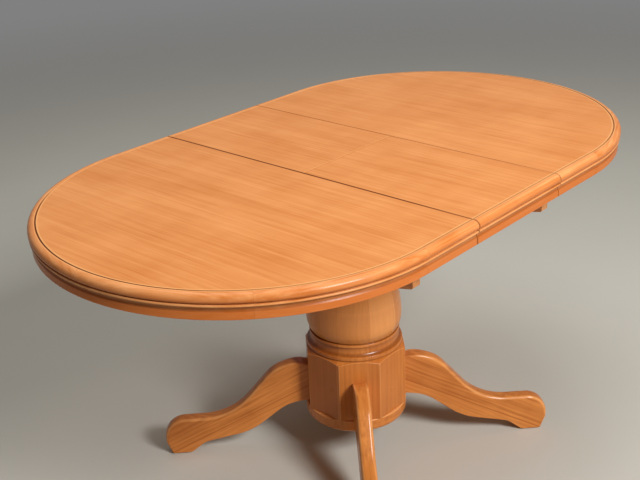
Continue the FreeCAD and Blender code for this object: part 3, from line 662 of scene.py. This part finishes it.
def stave_shade(start, place, space, colour):
    """Own tone for each of the column's glued staves, a paler bulb, painted shade in the grooves, and
    arrises painted pale as rubbing and highlight.
    """
    finish = bpy.context.scene.table_pedestal
    number, across = stave_place(place)
    joint = abs(across - 0.5).step(0.485, 0.499)
    bulb = place.axis("Z").step(BULB_FOOT - 10 * MM, BULB_FOOT + 10 * MM)
    tone = 0.0
    for index, (foot, upper) in enumerate(STAVE_TONES):
        tone = tone + number.math("COMPARE", number, index, 0.5) * (foot + bulb * (upper - foot))
    darker = tone * 0.46 + 0.14 - bulb * 0.16
    colour = darker.blend(colour, finish.wood_dark)
    paler = bulb * (0.7 - tone * 0.6)
    colour = paler.blend(colour, finish.bare_light)
    colour = (joint * 0.3).blend(colour, finish.wood_dark)
    # Painted shade in the turned grooves, darker where they are deeper.
    colour = (own_attribute(start, "groove") * 0.55).blend(colour, finish.glaze_and_shade)
    # Arrises painted pale, partly as rubbing and partly as painted highlight.
    return (own_attribute(start, "wear_and_highlight") * finish.wear_and_highlight).blend(colour, finish.rubbed_and_highlight)


def leg_shade(start, place, space, colour):
    """Paler lower board of a leg that is glued up from two, and rounded edges painted pale: partly rubbing,
    partly painted highlight.
    """
    finish = bpy.context.scene.table_pedestal
    height = space.axis("Z")
    lower = height.step(LEG_JOINT + 0.5 * MM, LEG_JOINT - 0.5 * MM)
    glue = abs(height - LEG_JOINT).step(2.4 * MM, 0.6 * MM)
    colour = (lower * 0.22).blend(colour, finish.wood_light)
    colour = (glue * 0.7).blend(colour, finish.wood_dark)
    # Rounded edges painted pale, partly as rubbing and partly as painted highlight.
    side = abs(space.axis("Y"))
    edge = side.band(11, 13.5, 16, 17.3)
    patch = place.noise((30, 30, 30), (2, 5, 1), 3.0).step(-0.15, 0.2, 0.45, 0.8)
    return (edge * patch * finish.wear_and_highlight).blend(colour, finish.rubbed_and_highlight)


def disc_shade(start, place, space, colour):
    """Pale upper rim of the disc, partly rubbing and partly painted highlight, and chips along its lower
    edge.
    """
    finish = bpy.context.scene.table_pedestal
    height = place.axis("Z")
    # Pale rim, partly rubbing and partly painted highlight on the arris.
    rim = height.step(COLUMN_FOOT - 2.5 * MM, COLUMN_FOOT - 0.6 * MM)
    colour = (rim * finish.wear_and_highlight).blend(colour, finish.rubbed_and_highlight)
    patch = place.noise((55, 55, 55), (4, 1, 7), 2.0).step(0.14, 0.18)
    low = height.step(COLUMN_FOOT - 26 * MM, COLUMN_FOOT - 29 * MM)
    return (patch * low).blend(colour, finish.chip)


class VeneerPanels(bpy.types.Operator):
    """Veneer the two halves of the top and the two halves of the leaf, with the grain across the table"""

    bl_idname = "table.veneer_panels"
    bl_label = "Veneered panels"

    def execute(self, context):
        finish = context.scene.table_top
        nodes = ("near_top_panel", "far_top_panel", "leaf_fixed_panel", "leaf_folding_panel")
        for seed, node in enumerate(nodes, SEEDS["panels"]):
            material = lacquered_wood(
                node + "_veneer", finish, "veneer", turned_grain(90), seed, figure=0.8, shade=edge_shade)
            dress([node], material)
        return {"FINISHED"}


class MouldedLipping(bpy.types.Operator):
    """Mould the lipping round the top from one section carried along its straight and bent pieces"""

    bl_idname = "table.moulded_lipping"
    bl_label = "Moulded lipping"

    def straight(self, section, x_start, x_end, side):
        """Section along one long side: y is the half width less the inset, z the height less the depth."""
        x = np.array([x_start, x_end])[:, None] + 0 * section[:, 0]
        y = side * (HALF_WIDTH - section[:, 0]) + 0 * x
        z = TOP_HEIGHT - section[:, 1] + 0 * x
        return np.stack([x, y, z], axis=-1), x - x_start

    def bend(self, section, end, start_angle, sweep, steps):
        """Section round a bend: its radius about the bend's centre is the half width less the inset."""
        angle = np.radians(np.linspace(start_angle, start_angle + sweep, steps))[:, None]
        radius = HALF_WIDTH - section[:, 0]
        x = end * (BEND_CENTRE + radius * np.cos(angle))
        y = radius * np.sin(angle)
        z = TOP_HEIGHT - section[:, 1] + 0 * x
        along = (angle - angle[0]) * HALF_WIDTH + 0 * x
        return np.stack([x, y, z], axis=-1), along

    def piece(self, node, body, shape, section, seed, angle):
        """One length of lipping, sawn from a board whose grain runs at an angle about the upright axis."""
        points, along = shape
        finish = bpy.context.scene.table_top
        grain = np.stack([along, 0 * along + section[:, 0], 0 * along + section[:, 1]], axis=-1)
        material = lacquered_wood(
            node + "_lacquer", finish, "lipping", turned_grain(angle), seed, figure=0.85, rings=0.09,
            shade=moulding_shade)
        make_piece(
            node + "_moulding", points[None], material, body, [node], caps=True,
            carried={"grain": grain})

    def execute(self, context):
        section = rounded_outline(LIPPING_SECTION, EASE, CORNER_STEPS) * MM
        seed = SEEDS["lipping"]
        for half, end in HALVES.items():
            for side, word in ((1, "left"), (-1, "right")):
                shape = self.straight(section, end * HALF_SEAM, end * BEND_CENTRE, side)
                self.piece("%s_lipping_%s" % (half, word), half + "_half", shape, section, seed, 0)
                seed += 1
            for turn in range(180 // BEND_SWEEP):
                shape = self.bend(section, end, BEND_SWEEP * turn - 90, BEND_SWEEP, BEND_POINTS)
                chord = end * BEND_SWEEP * (turn + 0.5)
                node = "%s_lipping_bend_%d" % (half, turn + 1)
                self.piece(node, half + "_half", shape, section, seed, chord)
                seed += 1
        for word, side, body in (("fixed", 1, "leaf"), ("folding", -1, "leaf_flap")):
            shape = self.straight(section, -LEAF_SIDE, LEAF_SIDE, side)
            self.piece("leaf_%s_lipping" % word, body, shape, section, seed, 0)
            seed += 1
        return {"FINISHED"}


class ScrolledLegs(bpy.types.Operator):
    """Shape the four scrolled legs, with the grain along each leg and edges rounded up to a stop"""

    bl_idname = "table.scrolled_legs"
    bl_label = "Scrolled legs"

    def leg(self, finish):
        """Grid of a leg along +X, made by carrying its side outline across its thickness.

        Each long edge is a quarter round. At an angle from 0 on the side to 90 degrees on the edge, the
        outline is set in by radius * (1 - sine) and lies radius * (1 - cosine) inside the leg's side. The
        radius is less on the lower edges and runs out towards the column and the sole. One more row, a
        little further in, keeps the side flat.
        """
        ease = 0.2
        outline_steps = 16
        round_points = 9
        lower_share = 0.35
        further_in = 1.25
        outline = rounded_outline(LEG_OUTLINE, ease, outline_steps) * MM
        ahead = unit(np.roll(outline, -1, axis=0) - outline)
        back = unit(outline - np.roll(outline, 1, axis=0))
        along = unit(ahead + back)
        outward = np.stack([-along[:, 1], along[:, 0]], axis=-1)
        stop = COLUMN_FLATS + finish.leg_stop
        run_out = 50 * MM
        clear = smooth_step(outline[:, 0], stop, stop + run_out)
        clear = clear * smooth_step(outline[:, 1], 2 * MM, 14 * MM)
        share = lower_share + (1 - lower_share) * smooth_step(outward[:, 1], -0.7, 0.1)
        radius = ease * 0.7 * MM + finish.leg_edge * clear * share
        angle = np.linspace(0, np.pi / 2, round_points)[:, None]
        inset = np.concatenate([further_in * radius[None], radius * (1 - np.sin(angle))])
        inside = np.concatenate([0 * radius[None], radius * (1 - np.cos(angle))])
        inset = np.concatenate([inset, inset[::-1]])
        side = np.concatenate([LEG_SIDE - inside, inside[::-1] - LEG_SIDE])
        shape = outline - outward * inset[..., None]
        return shape[..., 0], side, shape[..., 1]

    def execute(self, context):
        finish = context.scene.table_pedestal
        out, side, height = self.leg(finish)
        for seed, (place, angle) in enumerate(LEG_ANGLES.items(), SEEDS["legs"]):
            node = "leg_" + place
            material = lacquered_wood(
                node + "_lacquer", finish, "wood", turned_grain(angle, LEG_FALL), seed, figure=0.8,
                rings=0.08, shade=leg_shade)
            turn = math.radians(angle)
            x = out * math.cos(turn) - side * math.sin(turn)
            y = out * math.sin(turn) + side * math.cos(turn)
            points = np.stack([x, y, height], axis=-1)
            make_piece(
                "scrolled_" + node, points[None], material, "pedestal", [node], caps=True)
        return {"FINISHED"}


class TurnedColumn(bpy.types.Operator):
    """Turn the column out of its eight-sided blank, and the disc under it"""

    bl_idname = "table.turned_column"
    bl_label = "Turned column"

    def column(self, arris):
        """Grid of the column, with how pale each arris is painted and how deep each point lies in a groove.

        The blank's radius is the distance to its flats over the cosine of the angle from the nearest flat,
        eased at the corner with the next one and rounded at the foot. The column's radius is the lesser of
        the blank's and the turning's, eased where they meet. The share of the easing that a point has sets
        how pale its arris is painted, partly as rubbing and partly as painted highlight. A groove's depth
        is measured from the greatest radius a little above and below, and is a share of the depth of a full
        groove; the material darkens the grooves by it as painted shade.
        """
        shoulder_rows = 72
        points_a_side = 28
        groove_reach = 4 * MM
        full_groove = 4.5 * MM
        profile = rounded_outline(COLUMN_OUTLINE, EASE, CORNER_STEPS) * MM + (0, COLUMN_FOOT)
        slope = SHOULDER_CORNER * (CORNER_STEPS + 3) + CORNER_STEPS + 1
        slope_rows = np.linspace(profile[slope], profile[slope + 1], shoulder_rows)
        profile = np.concatenate([profile[:slope], slope_rows, profile[slope + 2:]])
        turned, height = profile[:, :1], profile[:, 1:]
        turn = 2 * math.pi / COLUMN_SIDES
        across = np.linspace(-1, 1, points_a_side, endpoint=False)
        side = np.sin(across * math.pi / 2) * turn / 2
        angle = (np.arange(COLUMN_SIDES)[:, None] * turn + side).ravel()
        off = np.tile(np.abs(side), COLUMN_SIDES)
        flat = COLUMN_FLATS / np.cos(off)
        blank = smooth_min(flat, COLUMN_FLATS / np.cos(turn - off), arris)
        rise = np.maximum(arris - (height - COLUMN_FOOT), 0)
        blank_here = blank - (arris - np.sqrt(arris ** 2 - np.minimum(rise, arris) ** 2))
        radius = smooth_min(turned + 0 * angle, blank_here, arris)
        # Share of the arris painted pale, partly as rubbing and partly as painted highlight.
        wear_and_highlight = (flat - blank) * (turned > blank) + np.minimum(turned, blank_here) - radius
        bulk = np.minimum(turned, COLUMN_FLATS)
        near = np.abs(height - height.T) < groove_reach
        crest = np.max(np.where(near, bulk.T, 0), axis=1, keepdims=True)
        groove = np.clip((crest - bulk) / full_groove, 0, 1) + 0 * angle
        points = turned_points(radius, angle, height)
        return points[None], {"wear_and_highlight": wear_and_highlight / (arris / 4), "groove": groove}

    def execute(self, context):
        finish = context.scene.table_pedestal
        points, carried = self.column(finish.arris)
        staves = lacquered_wood(
            "column_lacquer", finish, "wood", stave_grain, SEEDS["column"], figure=0.45, rings=0.06,
            shade=stave_shade)
        make_piece(
            "turned_column", points, staves, "pedestal", ["pedestal_column"],
            close_rows=True, carried=carried)
        rim_steps = 10
        rim_turns = 160
        outline = rounded_outline(DISC_OUTLINE, EASE, rim_steps) * MM + (0, COLUMN_FOOT)
        rim = outline[outline[:, 0] > 0]
        poles = rim[[0, -1]] * (0, 1)
        profile = np.concatenate([poles[:1], rim, poles[1:]])
        board = lacquered_wood(
            "disc_lacquer", finish, "wood", turned_grain(20), SEEDS["disc"], figure=0.6, shade=disc_shade)
        disc = turned_points(profile[:, :1], full_turn(rim_turns), profile[:, 1:])
        make_piece("turned_disc", disc[None], board, "pedestal", ["base_disc"])
        return {"FINISHED"}


class PlainUnderframe(bpy.types.Operator):
    """Oil the rails, runners, bearers, head plate and cleats under the top"""

    bl_idname = "table.plain_underframe"
    bl_label = "Underframe"

    def execute(self, context):
        finish = context.scene.table_pedestal
        words = ("rail_", "runner_", "cleat")
        nodes = [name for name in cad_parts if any(word in name for word in words)]
        nodes = [name for name in nodes if "screws" not in name and "bolts" not in name]
        groups = {
            "lengthways": (0, (*nodes, "head_plate")),
            "bearers": (90, ("cross_bearer_near", "cross_bearer_far")),
        }
        for group, (angle, pieces) in groups.items():
            for seed, node in enumerate(pieces, SEEDS[group]):
                dress([node], lacquered_wood(node + "_oil", finish, "bare", turned_grain(angle), seed))
        return {"FINISHED"}


class Fittings(bpy.types.Operator):
    """Plate the studs, nuts, washers and pins, and finish the hinges and glides"""

    bl_idname = "table.fittings"
    bl_label = "Metal and plastic fittings"

    def execute(self, context):
        finish = context.scene.table_fittings
        hinges = [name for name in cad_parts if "hinge" in name]
        zinc = plated_metal("zinc_plate", finish.zinc, metallic=1.0, roughness=0.32)
        dress(["leg_studs", "leg_nuts", "leg_washers", "stop_pins"], zinc)
        dress(hinges, plated_metal("hinge_brass", finish.brass, metallic=1.0, roughness=0.3))
        dress(["foot_glides"], plated_metal("glide_plastic", finish.plastic, metallic=0.0, roughness=0.45))
        return {"FINISHED"}


class Fastenings(bpy.types.Operator):
    """Make the screws with a cross recess in each head and the bolts with a hexagon socket"""

    bl_idname = "table.fastenings"
    bl_label = "Screws and bolts"

    def cross(self, angle, finish):
        """Outline of a cross recess: at each angle, the nearer of an arm's end and its side."""
        off = np.abs((angle + math.pi / 4) % (math.pi / 2) - math.pi / 4)
        side = finish.recess_width / 2 / np.maximum(np.sin(off), 1e-6)
        return np.minimum(finish.recess_reach / np.cos(off), side)

    def hexagon(self, angle, finish):
        """Outline of a hexagon: half its width over the cosine of the angle from the nearest flat."""
        return finish.socket_flats / 2 / np.cos(angle % (math.pi / 3) - math.pi / 6)

    def places(self, node, count, head):
        """Plan places of a node's fastenings: so many along and across its box, or a ring of four."""
        low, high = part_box(node)
        if count == "ring":
            return (high.x - head) * np.array([(1, 0), (0, 1), (-1, 0), (0, -1)])
        x = np.linspace(low.x + head, high.x - head, count[0])
        y = np.linspace(low.y + head, high.y - head, count[1])
        return np.stack(np.meshgrid(x, y), axis=-1).reshape(-1, 2)

    def make(self, node, body, count, outline, recess, floor, profile, head_up, material):
        """One node's fastenings.

        Each is a recess, from its floor's middle to the outline of its mouth, and then a turned (radius,
        height) profile from the head to the tip, about an upright axis, with its head below or above. The
        floor is given as a share of the mouth's size.
        """
        low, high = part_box(node)
        angle = full_turn(outline.size)
        mouth = np.stack([0 * outline, floor * outline, outline])
        radius = np.concatenate([mouth, profile[:, :1] + 0 * outline])
        height = np.concatenate([[recess, recess, 0], profile[:, 1]])[:, None] + 0 * outline
        z = high.z - height if head_up else low.z + height
        one = turned_points(radius, angle, z)
        shift = np.pad(self.places(node, count, profile[0, 0]), ((0, 0), (0, 1)))
        make_piece("recessed_" + node, one + shift[:, None, None], material, body, [node])

    def execute(self, context):
        finish = context.scene.table_fittings
        zinc = plated_metal("screw_zinc", finish.zinc, metallic=1.0, roughness=0.32)
        angle = full_turn(finish.turns)
        cross = self.cross(angle, finish)
        groups = {
            "bearer_screws": ("pedestal", (2, 2)), "base_disc_screws": ("pedestal", "ring"),
            "head_plate_screws": ("pedestal", (2, 2)), "near_runner_screws": ("near_half", (3, 2)),
            "far_runner_screws": ("far_half", (3, 2)), "leaf_fixed_cleat_screws": ("leaf", (3, 1)),
            "leaf_folding_cleat_screws": ("leaf_flap", (3, 1)),
        }
        cross_floor = 0.6
        socket_floor = 1.0
        head, shank = finish.screw_head, finish.shank
        for node, (body, count) in groups.items():
            low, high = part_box(node)
            length = high.z - low.z
            tip = length - finish.tip
            profile = np.array([(head, 0), (shank, head - shank), (shank, tip), (0, length)])
            head_up = node == "head_plate_screws"
            self.make(node, body, count, cross, finish.recess_depth, cross_floor, profile, head_up, zinc)
        low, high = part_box("rail_bolts")
        length = high.z - low.z
        head, rise, shank = finish.bolt_head, finish.bolt_rise, finish.bolt_shank
        profile = np.array([(head, 0), (head, rise), (shank, rise), (shank, length), (0, length)])
        socket = self.hexagon(angle, finish)
        self.make(
            "rail_bolts", "pedestal", (2, 2), socket, finish.socket_depth, socket_floor, profile, False,
            zinc)
        return {"FINISHED"}


class Studio(bpy.types.Operator):
    """Lay the pale floor, hang the soft lights and set the camera at the photograph's viewing angle"""

    bl_idname = "table.studio"
    bl_label = "Studio"

    def lamp(self, name, power, size, place, aim):
        """Square soft light that faces a point."""
        light = bpy.data.lights.new(name, "AREA")
        light.energy = power
        light.size = size
        lamp = add_object(name, light)
        lamp.location = place
        lamp.rotation_euler = (Vector(aim) - Vector(place)).to_track_quat("-Z", "Y").to_euler()

    def looked_at(self, start):
        """1 for what the camera sees, also mirrored or through glass, and 0 for what only lights."""
        camera, glossy, clear = [
            start.node("ShaderNodeLightPath", {}, {}, "Is %s Ray" % kind)
            for kind in ("Camera", "Glossy", "Transmission")]
        return camera + glossy + clear

    def floor(self, colour, horizon):
        """Flat floor far wider than the view, which fades into the horizon well away from the table."""
        around = ((-1, -1), (1, -1), (1, 1), (-1, 1))
        corners = [(x * FLOOR_REACH, y * FLOOR_REACH, 0) for x, y in around]
        mesh = bpy.data.meshes.new("floor")
        mesh.from_pydata(corners, [], [(0, 1, 2, 3)])
        material, start = new_material("floor_paint")
        place = object_space(start)
        unevenness = place.noise((3, 3, 3), (0, 0, 0), 4.0)
        paler = tuple(min(1.0, 1.06 * part) for part in colour)
        tint = (unevenness + 0.5).blend(colour, paler)
        paint = start.node("ShaderNodeBsdfPrincipled", {}, {"Base Color": tint, "Roughness": 0.75})
        haze = start.node("ShaderNodeEmission", {}, {"Color": opaque(horizon)})
        share = place.length().step(HAZE_START, HAZE_FULL) * self.looked_at(start)
        surface = start.node("ShaderNodeMixShader", {}, {0: share, 1: paint, 2: haze})
        start.node("ShaderNodeOutputMaterial", {}, {"Surface": surface})
        mesh.materials.append(material)
        floor = add_object("floor", mesh)

    def backdrop(self, colour, horizon):
        """World that lights with one colour and shows another."""
        world = bpy.data.worlds.new("studio_light")
        start = empty_nodes(world)
        fill = start.node("ShaderNodeBackground", {}, {"Color": opaque(colour)})
        shown = start.node("ShaderNodeBackground", {}, {"Color": opaque(horizon)})
        surface = start.node("ShaderNodeMixShader", {}, {0: self.looked_at(start), 1: fill, 2: shown})
        start.node("ShaderNodeOutputWorld", {}, {"Surface": surface})
        bpy.context.scene.world = world

    def execute(self, context):
        scene = context.scene
        studio = scene.table_studio
        self.floor(studio.floor, studio.horizon)
        self.lamp("key_light", studio.key_power, *KEY_LIGHT)
        self.lamp("top_light", studio.top_power, *TOP_LIGHT)
        self.backdrop(studio.backdrop, studio.horizon)
        lens = bpy.data.cameras.new("camera")
        lens.sensor_fit = "HORIZONTAL"
        lens.sensor_width = SENSOR_WIDTH
        lens.lens = studio.lens
        camera = add_object("camera", lens)
        right = Vector(CAMERA_RIGHT)
        up = Vector(CAMERA_UP)
        back = right.cross(up)
        turn = Matrix((right, up, back)).transposed().to_4x4()
        camera.matrix_world = Matrix.Translation(CAMERA_PLACE) @ turn
        scene.camera = camera
        scene.view_settings.view_transform = "Standard"
        return {"FINISHED"}


PIECES = (
    VeneerPanels, MouldedLipping, TurnedColumn, ScrolledLegs, PlainUnderframe, Fittings, Fastenings, Studio,
)
SETTINGS = {
    "table_top": TopFinish,
    "table_pedestal": PedestalFinish,
    "table_fittings": FittingFinish,
    "table_studio": StudioSettings,
}


class TablePanel(bpy.types.Panel):
    """Lists the table's pieces in the sidebar"""

    bl_idname = "VIEW3D_PT_pedestal_table"
    bl_label = "Pedestal table"
    bl_space_type = "VIEW_3D"
    bl_region_type = "UI"
    bl_category = "Table"

    def draw(self, context):
        for piece in PIECES:
            self.layout.operator(piece.bl_idname)
        for group in SETTINGS:
            box = self.layout.box()
            settings = getattr(context.scene, group)
            for name in settings.bl_rna.properties.keys():
                if name not in ("rna_type", "name"):
                    box.prop(settings, name)


def register():
    for group in (*SETTINGS.values(), *PIECES, TablePanel):
        bpy.utils.register_class(group)
    for name, group in SETTINGS.items():
        setattr(bpy.types.Scene, name, PointerProperty(type=group))


def unregister():
    for name in SETTINGS:
        delattr(bpy.types.Scene, name)
    for group in (TablePanel, *reversed(PIECES), *reversed(SETTINGS.values())):
        bpy.utils.unregister_class(group)


def main():
    register()
    bpy.ops.table.veneer_panels()
    bpy.ops.table.moulded_lipping()
    bpy.ops.table.turned_column()
    bpy.ops.table.scrolled_legs()
    bpy.ops.table.plain_underframe()
    bpy.ops.table.fittings()
    bpy.ops.table.fastenings()
    bpy.ops.table.studio()


if __name__ == "__main__":
    main()
